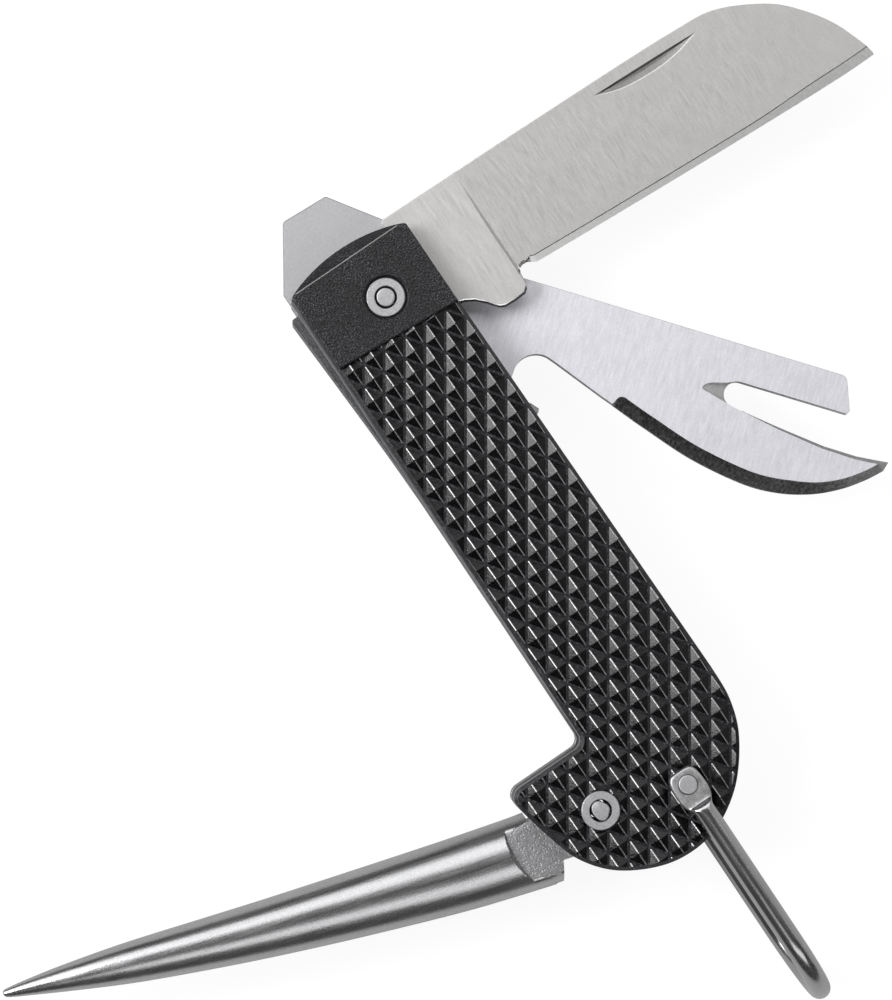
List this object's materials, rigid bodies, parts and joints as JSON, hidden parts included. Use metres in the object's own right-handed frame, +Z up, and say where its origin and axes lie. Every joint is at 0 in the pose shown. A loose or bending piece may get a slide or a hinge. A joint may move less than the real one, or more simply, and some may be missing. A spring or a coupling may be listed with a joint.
{
  "type": "rigging knife",
  "caption": "Folding sailor's knife: sheepsfoot blade, can opener with slotted key, screwdriver end, marlin spike and wire shackle in a checkered grip.",
  "frame": {"origin": "middle of the base of the overall box, the knife lying flat", "axes": "+X along the handle from the blade pivot to the shackle, +Y towards the edge where the blade folds out, +Z up through the thickness"},
  "size_m": [0.1408, 0.1862, 0.0227],
  "materials": {
    "grip_plastic": "moulded checkering with a fine grained smooth end",
    "liner_steel": "matt",
    "spring_steel": "ground back edge",
    "blade_steel": "satin, brushed across the blade",
    "opener_steel": "satin with a dark ground bevel",
    "spike_steel": "polished lengthwise, rough where forged",
    "wire_steel": "polished wire",
    "rivet_steel": "satin"
  },
  "bodies": {
    "handle": {"front_scale": "grip_plastic", "back_scale": "grip_plastic", "front_liner": "liner_steel", "back_liner": "liner_steel", "driver_plate": "liner_steel", "blade_spring": "spring_steel", "opener_spring": "spring_steel", "spring_pin": "rivet_steel", "pivot_pin": "rivet_steel", "pivot_washer_front": "rivet_steel", "pivot_washer_back": "rivet_steel", "spike_pin": "rivet_steel", "spike_washer_front": "rivet_steel", "spike_washer_back": "rivet_steel", "shackle_pin": "rivet_steel"},
    "blade": {"main_blade": "blade_steel"},
    "opener": {"can_opener": "opener_steel"},
    "spike": {"marlin_spike": "spike_steel"},
    "bail": {"shackle": "wire_steel"}
  },
  "joints": [
    {"name": "blade_hinge", "type": "hinge", "parent": "handle", "child": "blade", "pos_m": [-0.05205, 0.01164, 0.01135], "axis": [0, 0, 1], "range_deg": [-85, 92]},
    {"name": "opener_hinge", "type": "hinge", "parent": "handle", "child": "opener", "pos_m": [-0.05205, 0.01164, 0.01135], "axis": [0, 0, 1], "range_deg": [-36.5, 142]},
    {"name": "spike_hinge", "type": "hinge", "parent": "handle", "child": "spike", "pos_m": [0.02815, -0.00496, 0.01135], "axis": [0, 0, 1], "range_deg": [-73.3, 106]},
    {"name": "shackle_hinge", "type": "hinge", "parent": "handle", "child": "bail", "pos_m": [0.03205, 0.00764, 0.01135], "axis": [0, 0, 1], "range_deg": [-85, 145]}
  ]
}
